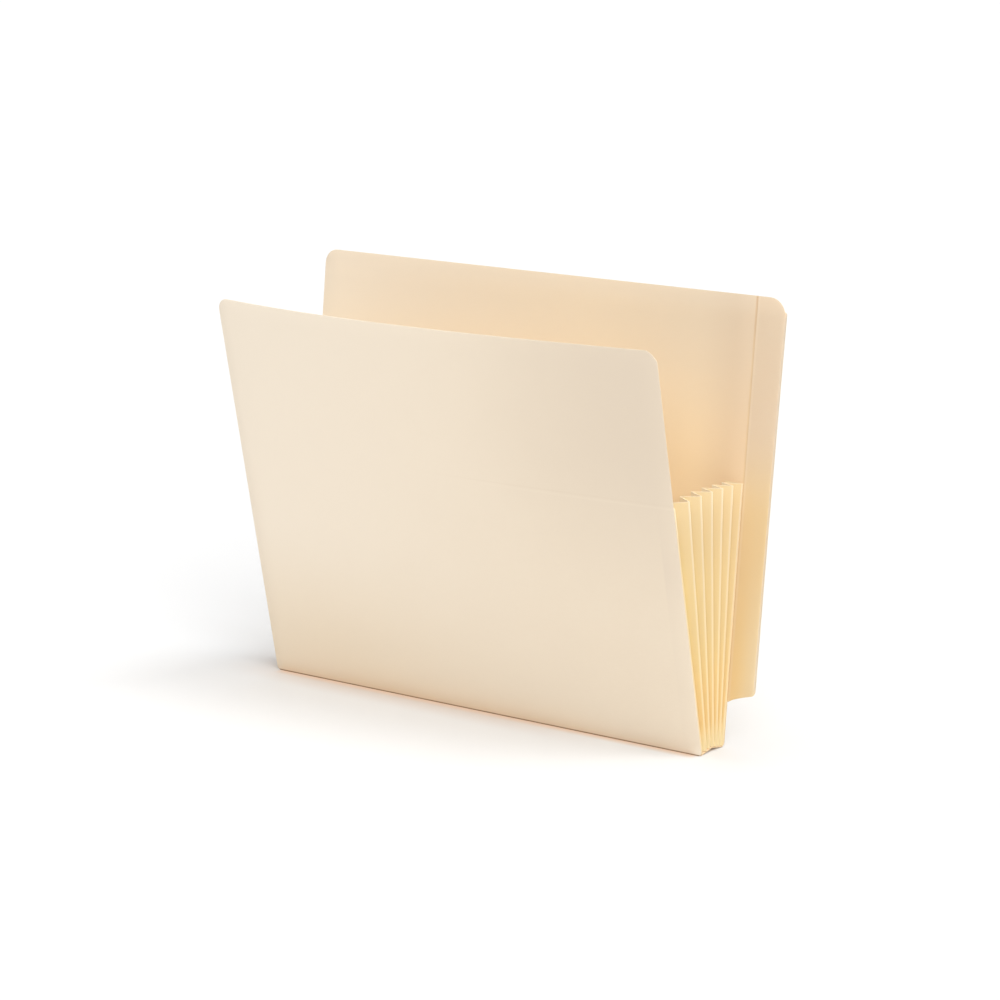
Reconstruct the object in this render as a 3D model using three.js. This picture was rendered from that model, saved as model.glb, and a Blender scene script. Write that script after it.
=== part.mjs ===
// End tab expanding file pocket: two manila covers, a narrow creased base and a pleated gusset at each side.
// It stands open on its base. Millimetres. X runs from the plain edge to the tab, Y from the front cover to
// the back one, Z up. Angles are in degrees.
import * as THREE from "three";

// Cut sizes of the boards
const bodyWidth = 292.1; // 11-1/2 inches, from the plain edge to the tab's score line
const backHeight = 241.3; // 9-1/2 inches
const frontHeight = 228.6; // 9 inches
const panelCornerRadius = 7.9;
const frontTabSideRadius = 6; // the front cover's corner at the tab's side is smaller
const bottomCornerRadius = 2.5;
const coverStock = 0.46; // thickness of the manila board

// End tab
const tabWidth = 19.05; // 3/4 inch beyond the score line
const tabTopRadius = 10.5;
const tabFootAtScore = 24.5; // height of the tab's lower edge at the score line
const tabFootRise = 6.6; // how much higher that edge is at the free side
const tabFootRadius = 3;
const tabBendAtFoot = 13; // the tab leans forward about its score, more at the foot than at the head
const tabBendAtHead = 5.2;
const plyOverhang = 0.4; // the reinforcing ply stands out past the tab's free side by this
const plyTopDrop = 7; // and ends this far below its top
const plyTopRadius = 1.5;

// Gussets, lining and glue flaps
const gussetStock = 0.3; // thickness of the gusset paper
const gussetHeight = 142; // from the fold at the foot of the covers, along them
const pleatWidth = 11.1125; // 7/16 inch
const pleatCount = 12; // pleat panels a side, so that the pocket expands to 5-1/4 inches
const pleatCrowding = 0.87; // 1 spaces the pleats evenly, less crowds them towards the back cover
const flapWidth = 11;
const liningFoot = 1.6; // the lining and the flaps start this far above the fold at their foot

// Base
const baseStripWidth = 11.1125; // 7/16 inch, so that two strips make a 7/8 inch base
const baseCreaseRise = 2; // the crease between the strips stands this much above the floor
const baseSideInset = 0.6;
const pleatFootLift = 1.1; // the pleats end this far above the middle of the base strips

// How it stands
const frontLean = 11.9; // the front cover leans out by this
const backLean = 6.3;
const frontBow = 7.6; // how far the front cover's top edge bows outwards
const frontBowSkew = 0.82; // 0 to 1: moves the fullest point of the bow towards the plain edge
const frontBowGrowth = 1.2; // power by which the bow grows from the foot to the top edge

const clearance = 0.3; // between two sheets that lie on or end at each other

const manila = { color: 0xf1e1ca, roughness: 0.8 };
const manilaInside = { color: 0xf1d7b4, roughness: 0.8 };
const tabManila = { color: 0xeacdab, roughness: 0.8 };
const gussetPaper = { color: 0xf5d79b, roughness: 0.85 };

const radians = THREE.MathUtils.degToRad;
const baseDepth = 2 * Math.sqrt(baseStripWidth ** 2 - baseCreaseRise ** 2);
// From the middle of a cover to the middle of a gusset sheet on it, and on to the fold that follows.
const coverToGussetSheet = coverStock / 2 + clearance + gussetStock / 2;
const halfFold = (gussetStock + clearance) / 2;

// A sheet as one closed solid. surface(u, v) gives its middle surface. It spans the stations of u, and at each
// station v runs from low(u) to high(u) in so many rows. flatFoot trims its lower edge to the floor's plane.
function sheetGeometry({ stations, rows, low, high, surface, stock, flatFoot = false }) {
  const positions = [];
  const indices = [];
  const rowLength = rows + 1;
  const step = 0.01;
  for (const side of [0.5, -0.5]) {
    for (const u of stations) {
      for (let row = 0; row <= rows; row += 1) {
        const v = THREE.MathUtils.lerp(low(u), high(u), row / rows);
        const alongU = surface(u + step, v).sub(surface(u - step, v));
        const alongV = surface(u, v + step).sub(surface(u, v - step));
        const normal = new THREE.Vector3().crossVectors(alongU, alongV).normalize();
        const point = surface(u, v).addScaledVector(normal, side * stock);
        if (flatFoot && row === 0) point.addScaledVector(alongV, -point.z / alongV.z);
        positions.push(...point);
      }
    }
  }
  const backStart = stations.length * rowLength;
  const quad = (a, b, c, d) => indices.push(a, b, c, a, c, d);
  for (let column = 0; column < stations.length - 1; column += 1) {
    for (let row = 0; row < rows; row += 1) {
      const a = column * rowLength + row;
      const b = a + rowLength;
      quad(a, b, b + 1, a + 1);
      quad(backStart + a, backStart + a + 1, backStart + b + 1, backStart + b);
    }
    const foot = column * rowLength;
    const head = foot + rows;
    quad(foot, backStart + foot, backStart + foot + rowLength, foot + rowLength);
    quad(head, head + rowLength, backStart + head + rowLength, backStart + head);
  }
  const lastColumn = (stations.length - 1) * rowLength;
  for (let row = 0; row < rows; row += 1) {
    quad(row, row + 1, backStart + row + 1, backStart + row);
    const a = lastColumn + row;
    quad(a, backStart + a, backStart + a + 1, a + 1);
  }
  const geometry = new THREE.BufferGeometry();
  geometry.setAttribute("position", new THREE.Float32BufferAttribute(positions, 3));
  geometry.setIndex(indices);
  geometry.computeVertexNormals();
  return geometry;
}

function sheet(name, finish, shape) {
  const mesh = new THREE.Mesh(
    sheetGeometry(shape),
    new THREE.MeshStandardMaterial({ ...finish, metalness: 0, side: THREE.DoubleSide }),
  );
  mesh.name = name;
  return mesh;
}

// Stations from start to end, packed closer over a rounded corner of the given radius at either end.
function stationsAcross(start, end, startRadius, endRadius, middleSteps) {
  const cornerSteps = 5;
  const stations = [];
  for (let i = 0; startRadius > 0 && i < cornerSteps; i += 1) {
    stations.push(start + startRadius * (1 - Math.cos((Math.PI / 2) * (i / cornerSteps))));
  }
  for (let i = 0; i <= middleSteps; i += 1) {
    stations.push(THREE.MathUtils.lerp(start + startRadius, end - endRadius, i / middleSteps));
  }
  for (let i = 1; endRadius > 0 && i <= cornerSteps; i += 1) {
    stations.push(end - endRadius * (1 - Math.sin((Math.PI / 2) * (i / cornerSteps))));
  }
  return stations;
}

// How far a rounded corner takes the edge back, at a distance from the side that the corner ends at.
function cornerCut(distance, radius) {
  if (distance >= radius) return 0;
  return radius - Math.sqrt(radius ** 2 - (radius - distance) ** 2);
}

// Middle surfaces of the covers. offset moves the surface towards the inside of the pocket.
function frontSurface(offset = 0) {
  const lean = radians(frontLean);
  return (u, v) => {
    const across = THREE.MathUtils.clamp(u / bodyWidth, 0, 1);
    const up = Math.max(v / frontHeight, 0);
    const bow = frontBow * up ** frontBowGrowth * Math.sin(Math.PI * across ** frontBowSkew);
    const out = bow - offset;
    return new THREE.Vector3(
      u,
      -v * Math.sin(lean) - out * Math.cos(lean),
      v * Math.cos(lean) - out * Math.sin(lean),
    );
  };
}

function backSurface(offset = 0) {
  const lean = radians(backLean);
  return (u, v) =>
    new THREE.Vector3(
      u,
      baseDepth + v * Math.sin(lean) - offset * Math.cos(lean),
      v * Math.cos(lean) + offset * Math.sin(lean),
    );
}

// Middle surface of the tab, by distance from the score line. offset moves it towards the back.
function tabSurface(offset = 0) {
  const lean = radians(backLean);
  return (u, v) => {
    const bend = radians(THREE.MathUtils.lerp(tabBendAtFoot, tabBendAtHead, (v / backHeight) ** 2));
    const forward = u * Math.sin(bend) - offset * Math.cos(bend);
    return new THREE.Vector3(
      bodyWidth + u * Math.cos(bend) + offset * Math.sin(bend),
      baseDepth + v * Math.sin(lean) - forward * Math.cos(lean),
      v * Math.cos(lean) + forward * Math.sin(lean),
    );
  };
}

function frontCover() {
  const stations = stationsAcross(0, bodyWidth, panelCornerRadius, frontTabSideRadius, 22);
  const headCut = (u) => cornerCut(u, panelCornerRadius) + cornerCut(bodyWidth - u, frontTabSideRadius);
  const fromSide = (u) => Math.min(u, bodyWidth - u);
  const panel = sheet("front_panel", manila, {
    stations,
    rows: 12,
    low: (u) => cornerCut(fromSide(u), bottomCornerRadius),
    high: (u) => frontHeight - headCut(u),
    surface: frontSurface(),
    stock: coverStock,
    flatFoot: true,
  });
  const lining = sheet("front_lining", gussetPaper, {
    stations: stationsAcross(0, bodyWidth, 0, 0, 24),
    rows: 8,
    low: () => liningFoot,
    high: () => gussetHeight,
    surface: frontSurface(coverToGussetSheet),
    stock: gussetStock,
  });
  return new THREE.Group().add(panel, lining);
}

function backCover() {
  const scoreSide = bodyWidth - clearance / 2;
  const panel = sheet("back_panel", manilaInside, {
    stations: stationsAcross(0, scoreSide, panelCornerRadius, bottomCornerRadius, 12),
    rows: 10,
    low: (u) => cornerCut(Math.min(u, scoreSide - u), bottomCornerRadius),
    high: (u) => backHeight - cornerCut(u, panelCornerRadius),
    surface: backSurface(),
    stock: coverStock,
    flatFoot: true,
  });
  const flap = (name, start) =>
    sheet(name, gussetPaper, {
      stations: stationsAcross(start, start + flapWidth, 0, 0, 1),
      rows: 1,
      low: () => liningFoot,
      high: () => gussetHeight,
      surface: backSurface(coverToGussetSheet),
      stock: gussetStock,
    });
  return new THREE.Group().add(
    panel,
    flap("left_back_flap", 0),
    flap("right_back_flap", bodyWidth - flapWidth),
  );
}

// Lower edge of the tab: it climbs away from the score line and turns up round a small corner.
function tabFoot(u) {
  const climb = tabFootRise * Math.max(u / tabWidth, 0) ** 0.75;
  return tabFootAtScore + climb + cornerCut(tabWidth - u, tabFootRadius);
}

function endTab() {
  const inner = clearance / 2;
  const tab = sheet("end_tab", tabManila, {
    stations: stationsAcross(inner, tabWidth, 0, tabTopRadius, 4),
    rows: 12,
    low: tabFoot,
    high: (u) => backHeight - cornerCut(tabWidth - u, tabTopRadius),
    surface: tabSurface(),
    stock: coverStock,
  });
  const plySide = tabWidth + plyOverhang;
  const ply = sheet("tab_reinforcement", tabManila, {
    stations: stationsAcross(inner, plySide, 0, tabFootRadius, 5),
    rows: 12,
    low: (u) => tabFoot(u - plyOverhang),
    high: (u) => backHeight - plyTopDrop - cornerCut(plySide - u, plyTopRadius),
    surface: tabSurface(coverStock + clearance),
    stock: coverStock,
  });
  return new THREE.Group().add(tab, ply);
}

// Middle height of the base at a distance from the front fold: an upturned V with its crease in the middle.
function baseHeight(y) {
  return coverStock / 2 + baseCreaseRise * (1 - Math.abs((2 * y) / baseDepth - 1));
}

function base() {
  const coverFace = coverStock / 2 + clearance;
  const strip = (name, start, end) =>
    sheet(name, manilaInside, {
      stations: [baseSideInset, bodyWidth - baseSideInset],
      rows: 1,
      low: () => start,
      high: () => end,
      surface: (u, v) => new THREE.Vector3(u, v, baseHeight(start) + (v - start) * slope(start, end)),
      stock: coverStock,
    });
  const slope = (start, end) => (baseHeight(end) - baseHeight(start)) / (end - start);
  const crease = baseDepth / 2;
  return new THREE.Group().add(
    strip("base_front_strip", coverFace, crease - clearance),
    strip("base_rear_strip", crease + clearance, baseDepth - coverFace),
  );
}

// Creases of a gusset, counted from the back cover. Even ones lie at the pocket's side, odd ones inside.
// They fan out from the base: share is 0 at the front cover and 1 at the back one.
function creaseShare(crease) {
  return (1 - crease / pleatCount) ** pleatCrowding;
}

function creaseY(crease, v) {
  const share = creaseShare(crease);
  const sheetDepth = coverToGussetSheet + halfFold;
  const frontFoot = sheetDepth / Math.cos(radians(frontLean));
  const backFoot = baseDepth - sheetDepth / Math.cos(radians(backLean));
  const lean = radians(THREE.MathUtils.lerp(frontLean, -backLean, share));
  return {
    foot: THREE.MathUtils.lerp(frontFoot, backFoot, share),
    y: THREE.MathUtils.lerp(frontFoot, backFoot, share) - v * Math.sin(lean),
    z: v * Math.cos(lean),
  };
}

// How far inside the pocket's side a crease lies, so that the pleats keep their width as they spread.
function creaseDepth(crease, v) {
  if (crease % 2 === 0) return 0;
  const halfSpread = (creaseY(crease - 1, v).y - creaseY(crease + 1, v).y) / 2;
  return Math.sqrt(pleatWidth ** 2 - halfSpread ** 2);
}

// One pleat panel, from the crease behind it to the crease in front of it, as it lies at the tab's side.
function pleatSurface(pleat) {
  return (u, v) => {
    const behind = creaseY(pleat - 1, v);
    const ahead = creaseY(pleat, v);
    const along = u / pleatWidth;
    return new THREE.Vector3(
      bodyWidth - THREE.MathUtils.lerp(creaseDepth(pleat - 1, v), creaseDepth(pleat, v), along),
      THREE.MathUtils.lerp(behind.y - halfFold, ahead.y + halfFold, along),
      THREE.MathUtils.lerp(behind.z, ahead.z, along),
    );
  };
}

function gusset(side) {
  const group = new THREE.Group();
  for (let pleat = 1; pleat <= pleatCount; pleat += 1) {
    const onRight = pleatSurface(pleat);
    const mirrored = (u, v) => {
      const point = onRight(pleatWidth - u, v);
      point.x = bodyWidth - point.x;
      return point;
    };
    const footOf = (u) => {
      const along = side === "right" ? u / pleatWidth : 1 - u / pleatWidth;
      const foot = THREE.MathUtils.lerp(creaseY(pleat - 1, 0).foot, creaseY(pleat, 0).foot, along);
      return baseHeight(foot) + pleatFootLift;
    };
    group.add(
      sheet(`${side}_pleat_${pleat}`, gussetPaper, {
        stations: [0, pleatWidth / 2, pleatWidth],
        rows: 10,
        low: footOf,
        high: () => gussetHeight,
        surface: side === "right" ? onRight : mirrored,
        stock: gussetStock,
      }),
    );
  }
  return group;
}

const pocket = new THREE.Group();
pocket.add(frontCover(), backCover(), endTab(), base(), gusset("left"), gusset("right"));

// The origin is the middle of the pocket's footprint, on the floor.
const extent = new THREE.Box3().setFromObject(pocket);
const centre = extent.getCenter(new THREE.Vector3());
pocket.position.set(-centre.x, -centre.y, -extent.min.z);

export default pocket;
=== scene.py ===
"""A manila end tab file pocket that stands open in a V on a pale studio floor.

Its covers, end tab, base and pleated gussets are sheets of board and paper. Each is cut flat, laid along the
line that it takes in the standing pocket, and given its thickness.
"""

from __future__ import annotations

import logging
import math
from collections.abc import Callable, Sequence
from dataclasses import dataclass
from enum import Enum

import bpy
import numpy as np
from mathutils import Matrix, Vector


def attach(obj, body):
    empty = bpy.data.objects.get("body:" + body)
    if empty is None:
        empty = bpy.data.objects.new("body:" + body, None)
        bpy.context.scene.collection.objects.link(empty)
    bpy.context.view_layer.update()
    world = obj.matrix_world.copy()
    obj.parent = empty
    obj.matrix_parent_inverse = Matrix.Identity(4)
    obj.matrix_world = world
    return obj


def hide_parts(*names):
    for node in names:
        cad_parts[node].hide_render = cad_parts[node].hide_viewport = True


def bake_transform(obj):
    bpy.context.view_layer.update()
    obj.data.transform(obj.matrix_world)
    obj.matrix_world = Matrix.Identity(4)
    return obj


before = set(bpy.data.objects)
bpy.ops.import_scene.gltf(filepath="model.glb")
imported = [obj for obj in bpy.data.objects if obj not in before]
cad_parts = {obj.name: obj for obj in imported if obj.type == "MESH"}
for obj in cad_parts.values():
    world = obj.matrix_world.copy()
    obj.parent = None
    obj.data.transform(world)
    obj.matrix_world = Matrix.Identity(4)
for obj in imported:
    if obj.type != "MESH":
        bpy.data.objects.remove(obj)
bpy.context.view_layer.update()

logging.basicConfig(level=logging.INFO, format="%(name)s: %(message)s")
log = logging.getLogger("file_pocket")

MM = 0.001
Color = tuple[float, float, float]
Point = tuple[float, float, float]
Surface = Callable[[np.ndarray, np.ndarray], np.ndarray]
Tree = bpy.types.NodeTree
Socket = bpy.types.NodeSocket


# How the pocket stands


@dataclass(frozen=True)
class Stance:
    """The sizes that all sheets of the pocket share, in metres, and its leans in radians.

    Attributes:
        crowding: 1 spaces the pleats evenly, and less crowds them towards the back cover.
        base_rise: How much the base's crease stands above the floor.
        bow: How far the front cover's head bows outwards.
        bow_skew: Moves the fullest point of the bow towards the plain edge, from 0 to 1.
        bow_growth: The power by which the bow grows from the foot to the head.
        tab_foot: Height of the tab's lower edge at the score line.
        tab_foot_rise: How much higher that edge is at the free side.
        tab_foot_power: Below 1, that edge rises sooner and then runs flatter.
        tab_foot_zone: Height over which the tab's rows take on the curve of that edge.
        clearance: The gap between two sheets that lie on each other.
        seam: The gap between two panels that meet at a crease.
        handled_arris: Width of the worn arris on edges that hands touch.
        cut_arris: The same on the other cut edges.
        corner: Where the pocket's plain lower front corner lies in the part's frame.
    """

    body_width: float = 292.1 * MM
    back_height: float = 241.3 * MM
    front_height: float = 228.6 * MM
    cover_stock: float = 0.46 * MM
    tab_width: float = 19.05 * MM
    gusset_stock: float = 0.3 * MM
    gusset_height: float = 142.0 * MM
    pleat_width: float = 11.1125 * MM
    pleat_count: int = 12
    crowding: float = 0.87
    base_strip: float = 11.1125 * MM
    base_rise: float = 2.0 * MM
    front_lean: float = math.radians(11.9)
    back_lean: float = math.radians(6.3)
    bow: float = 7.6 * MM
    bow_skew: float = 0.82
    bow_growth: float = 1.2
    tab_bend_foot: float = math.radians(13.0)
    tab_bend_head: float = math.radians(5.2)
    tab_foot: float = 24.5 * MM
    tab_foot_rise: float = 6.6 * MM
    tab_foot_power: float = 0.75
    tab_foot_zone: float = 12.0 * MM
    clearance: float = 0.3 * MM
    seam: float = 0.02 * MM
    handled_arris: float = 0.06 * MM
    cut_arris: float = 0.04 * MM
    corner: Point = (-155.7298 * MM, 3.1114 * MM, 0.0)

    @property
    def base_depth(self) -> float:
        """Distance between the two folds that the pocket stands on."""
        return 2 * math.sqrt(self.base_strip**2 - self.base_rise**2)

    @property
    def ply_step(self) -> float:
        """From the middle of a cover to the middle of a gusset sheet that lies on it."""
        return self.cover_stock / 2 + self.clearance + self.gusset_stock / 2

    @property
    def fold_step(self) -> float:
        """From the middle of a cover to the first crease of a gusset."""
        return self.ply_step + (self.gusset_stock + self.clearance) / 2

    def place(self, x: np.ndarray, y: np.ndarray, z: np.ndarray) -> np.ndarray:
        """Move points from the pocket's plain lower front corner into the part's frame.

        Args:
            x: Distances along the pocket.
            y: Distances from the fold under the front cover.
            z: Heights.

        Returns:
            The points, one to a row.
        """
        return np.stack([x + self.corner[0], y + self.corner[1], z + self.corner[2]], axis=-1)

    def front(self, inwards: float = 0.0) -> Surface:
        """Middle surface of the front cover.

        Args:
            inwards: How far inside the cover's own a ply's surface lies.

        Returns:
            The surface.
        """

        def surface(u: np.ndarray, v: np.ndarray) -> np.ndarray:
            """Points of the cover, which bows outwards.

            Args:
                u: Distances from its plain edge.
                v: Distances from its foot.

            Returns:
                The points, one to a row.
            """
            across = np.clip(u / self.body_width, 0, 1)
            up = np.maximum(v / self.front_height, 0)
            out = self.bow * up**self.bow_growth * np.sin(math.pi * across**self.bow_skew) - inwards
            sine, cosine = math.sin(self.front_lean), math.cos(self.front_lean)
            return self.place(u, -v * sine - out * cosine, v * cosine - out * sine)

        return surface

    def back(self, inwards: float = 0.0) -> Surface:
        """Middle surface of the back cover.

        Args:
            inwards: How far inside the cover's own a ply's surface lies.

        Returns:
            The surface.
        """

        def surface(u: np.ndarray, v: np.ndarray) -> np.ndarray:
            """Points of the cover, which is flat.

            Args:
                u: Distances from its plain edge.
                v: Distances from its foot.

            Returns:
                The points, one to a row.
            """
            sine, cosine = math.sin(self.back_lean), math.cos(self.back_lean)
            return self.place(u, self.base_depth + v * sine - inwards * cosine, v * cosine + inwards * sine)

        return surface

    def tab(self, behind: float = 0.0) -> Surface:
        """Middle surface of the end tab.

        Args:
            behind: How far behind the tab's own a ply's surface lies.

        Returns:
            The surface.
        """

        def surface(u: np.ndarray, v: np.ndarray) -> np.ndarray:
            """Points of the tab, which is bent about its score line, more at its foot than at its head.

            Args:
                u: Distances from the score line.
                v: Distances from the back cover's foot.

            Returns:
                The points, one to a row.
            """
            across = np.clip(u / self.tab_width, 0, 1)
            hollow = self.tab_foot_rise * (across**self.tab_foot_power - across)
            above = v - self.tab_foot - self.tab_foot_rise
            near_foot = np.clip(1 - above / self.tab_foot_zone, 0, 1)
            v = v + hollow * near_foot
            unbend = (v / self.back_height) ** 2
            bend = self.tab_bend_foot + (self.tab_bend_head - self.tab_bend_foot) * unbend
            forward = u * np.sin(bend) - behind * np.cos(bend)
            sine, cosine = math.sin(self.back_lean), math.cos(self.back_lean)
            return self.place(
                self.body_width + u * np.cos(bend) + behind * np.sin(bend),
                self.base_depth + v * sine - forward * cosine,
                v * cosine + forward * sine,
            )

        return surface

    def share(self, crease: float) -> float:
        """Where a gusset's crease lies between the front cover, 0, and the back cover, 1."""
        return (1 - crease / self.pleat_count) ** self.crowding

    def crease_foot(self, crease: int) -> float:
        """Where a crease would meet the floor.

        Args:
            crease: Its number, counted from the back cover.

        Returns:
            The distance from the fold under the front cover.
        """
        front = self.fold_step / math.cos(self.front_lean)
        back = self.base_depth - self.fold_step / math.cos(self.back_lean)
        return front + (back - front) * self.share(crease)

    def crease_lean(self, crease: int) -> float:
        """How far a crease leans to the front."""
        return self.front_lean - (self.front_lean + self.back_lean) * self.share(crease)

    def crease_depth(self, crease: int, v: np.ndarray) -> np.ndarray:
        """How far inside the pocket's side a crease lies, so that its pleats keep their width.

        Args:
            crease: Its number, counted from the back cover. The odd ones lie inside.
            v: Distances along the crease from its foot.

        Returns:
            The depth at each of them.
        """
        if crease % 2 == 0:
            return np.zeros_like(v)
        spread = (self._crease_y(crease - 1, v) - self._crease_y(crease + 1, v)) / 2
        return np.sqrt(self.pleat_width**2 - spread**2)

    def _crease_y(self, crease: int, v: np.ndarray) -> np.ndarray:
        """Distances of a crease from the fold under the front cover, by height along it."""
        return self.crease_foot(crease) - v * math.sin(self.crease_lean(crease))

    def crease(self, crease: int, v: np.ndarray) -> tuple[np.ndarray, np.ndarray, np.ndarray]:
        """Depth inside the pocket's side, distance from the front fold and height of a crease's points."""
        return self.crease_depth(crease, v), self._crease_y(crease, v), v * math.cos(self.crease_lean(crease))

    def base_height(self, y: np.ndarray | float) -> np.ndarray | float:
        """Height of the base's middle surface at a distance from the front fold."""
        return self.cover_stock / 2 + self.base_rise * (1 - np.abs(2 * y / self.base_depth - 1))


# Finishes


def connect(tree: Tree, source: Socket | float | Color, target: Socket) -> None:
    """Link a socket to an input, or set the input to a plain value.

    Args:
        tree: The nodes that both belong to.
        source: A socket, a number or a colour.
        target: The input.
    """
    if isinstance(source, bpy.types.NodeSocket):
        tree.links.new(source, target)
    elif isinstance(source, tuple):
        target.default_value = (*source, 1)
    else:
        target.default_value = source


def calculate(tree: Tree, operation: str, *values: Socket | float) -> Socket:
    """Work out a number with a Math node.

    Args:
        tree: The nodes that it joins.
        operation: The node's operation.
        values: Its inputs.

    Returns:
        The result.
    """
    node = tree.nodes.new("ShaderNodeMath")
    node.operation = operation
    for value, target in zip(values, node.inputs):
        connect(tree, value, target)
    return node.outputs[0]


def mix_colors(tree: Tree, share: Socket, under: Socket | Color, over: Color) -> Socket:
    """Lay a colour over another one.

    Args:
        tree: The nodes that the mix joins.
        share: How much of the upper colour shows.
        under: The lower colour.
        over: The upper colour.

    Returns:
        The mixed colour.
    """
    node = tree.nodes.new("ShaderNodeMix")
    node.data_type = "RGBA"
    connect(tree, share, node.inputs["Factor"])
    connect(tree, under, node.inputs["A"])
    connect(tree, over, node.inputs["B"])
    return node.outputs["Result"]


@dataclass(frozen=True)
class PulpNoise:
    """One of the noises that pressed paper pulp is made of.

    Attributes:
        name: The name of its weight on the node group.
        weight: That weight, unless a finish sets another.
        scale: How many times it turns to the metre.
        detail: Its number of finer layers.
        stretch: How it is squeezed along the three axes.
    """

    name: str
    weight: float
    scale: float
    detail: float
    stretch: Point = (1, 1, 1)


class PaperNodes:
    """Builds the node groups that all paper and board finishes share."""

    FIBRE = "Paper fibre"
    LINE = "Pressed line"
    NOISES = (
        PulpNoise("Grain", 0.35, 1900, 3),
        PulpNoise("Flecks", 0.35, 700, 2, (0.35, 1, 1.3)),
        PulpNoise("Clouds", 0.5, 26, 2),
    )

    def fibre(self) -> Tree:
        """The look of pressed paper pulp: a fine grain, short flecks of fibre and slow clouds.

        Returns:
            A node group that gives a tone and a height, each around 0.5.
        """
        if self.FIBRE in bpy.data.node_groups:
            return bpy.data.node_groups[self.FIBRE]
        tree = bpy.data.node_groups.new(self.FIBRE, "ShaderNodeTree")
        tree.interface.new_socket("Vector", in_out="INPUT", socket_type="NodeSocketVector")
        for noise in self.NOISES:
            socket = tree.interface.new_socket(noise.name, in_out="INPUT", socket_type="NodeSocketFloat")
            socket.default_value = noise.weight
        for name in ("Tone", "Height"):
            tree.interface.new_socket(name, in_out="OUTPUT", socket_type="NodeSocketFloat")
        entry = tree.nodes.new("NodeGroupInput")
        leave = tree.nodes.new("NodeGroupOutput")
        grain, flecks, clouds = (self._weighed_noise(tree, entry, noise) for noise in self.NOISES)
        height = calculate(tree, "ADD", calculate(tree, "ADD", 0.5, grain), flecks)
        connect(tree, calculate(tree, "ADD", height, clouds), leave.inputs["Tone"])
        connect(tree, height, leave.inputs["Height"])
        return tree

    @staticmethod
    def _weighed_noise(tree: Tree, entry: bpy.types.Node, noise: PulpNoise) -> Socket:
        """A noise's distance from 0.5, times its weight.

        Args:
            tree: The group that it joins.
            entry: The group's input node, with the place and the weight.
            noise: The noise.

        Returns:
            The weighed distance.
        """
        mapping = tree.nodes.new("ShaderNodeMapping")
        mapping.inputs["Scale"].default_value = noise.stretch
        texture = tree.nodes.new("ShaderNodeTexNoise")
        texture.inputs["Scale"].default_value = noise.scale
        texture.inputs["Detail"].default_value = noise.detail
        connect(tree, entry.outputs["Vector"], mapping.inputs["Vector"])
        connect(tree, mapping.outputs["Vector"], texture.inputs["Vector"])
        centred = calculate(tree, "SUBTRACT", texture.outputs["Fac"], 0.5)
        return calculate(tree, "MULTIPLY", centred, entry.outputs[noise.name])

    def line(self) -> Tree:
        """A straight line or band on a sheet: 1 inside it, falling softly to 0 at its two sides.

        Returns:
            A node group that takes a coordinate, the line's place, half its width and the width of its soft
            rim, and gives a mask.
        """
        if self.LINE in bpy.data.node_groups:
            return bpy.data.node_groups[self.LINE]
        tree = bpy.data.node_groups.new(self.LINE, "ShaderNodeTree")
        for name in ("Coordinate", "Place", "Width", "Rim"):
            tree.interface.new_socket(name, in_out="INPUT", socket_type="NodeSocketFloat")
        tree.interface.new_socket("Mask", in_out="OUTPUT", socket_type="NodeSocketFloat")
        entry = tree.nodes.new("NodeGroupInput").outputs
        leave = tree.nodes.new("NodeGroupOutput").inputs
        offset = calculate(tree, "SUBTRACT", entry["Coordinate"], entry["Place"])
        fall = tree.nodes.new("ShaderNodeMapRange")
        fall.interpolation_type = "SMOOTHSTEP"
        connect(tree, calculate(tree, "ABSOLUTE", offset), fall.inputs["Value"])
        connect(tree, entry["Width"], fall.inputs["From Min"])
        connect(tree, calculate(tree, "SUBTRACT", entry["Width"], entry["Rim"]), fall.inputs["From Max"])
        connect(tree, fall.outputs["Result"], leave["Mask"])
        return tree

    def mask(self, tree: Tree, coordinate: Socket, place: float, width: float, rim: float) -> Socket:
        """Where a line or band lies, as a mask.

        Args:
            tree: The material's nodes.
            coordinate: Where a point lies, in the direction that the place is measured in.
            place: The middle of the line.
            width: Half of its width.
            rim: The width of its soft rim.

        Returns:
            The mask.
        """
        line = tree.nodes.new("ShaderNodeGroup")
        line.node_tree = self.line()
        for name, value in (("Coordinate", coordinate), ("Place", place), ("Width", width), ("Rim", rim)):
            connect(tree, value, line.inputs[name])
        return line.outputs["Mask"]


class Along(Enum):
    """The direction that a mark on a sheet is measured in: across it from its left edge, or up from its foot."""

    ACROSS = "X"
    UP = "Y"


@dataclass(frozen=True)
class Mark:
    """A straight mark or soft band on a sheet, such as a score, a fold, the edge of a ply that shows through, or
    painted light and shade.

    Attributes:
        along: The direction that its place is measured in.
        place: Its place, in metres.
        width: Half of its width, in metres.
        rim: The width of its soft rim, in metres.
        color: The colour that it brings.
        strength: How much of that colour shows on it.
        height: How far it stands out, as a share of the bump. A pressed line is negative.
        span: The places that it runs between in the other direction, where it doesn't go all the way.
        span_rim: How softly it ends there, in metres.
    """

    along: Along
    place: float
    width: float
    rim: float
    color: Color
    strength: float
    height: float = 0.0
    span: tuple[float, float] | None = None
    span_rim: float = 1.0 * MM


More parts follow.
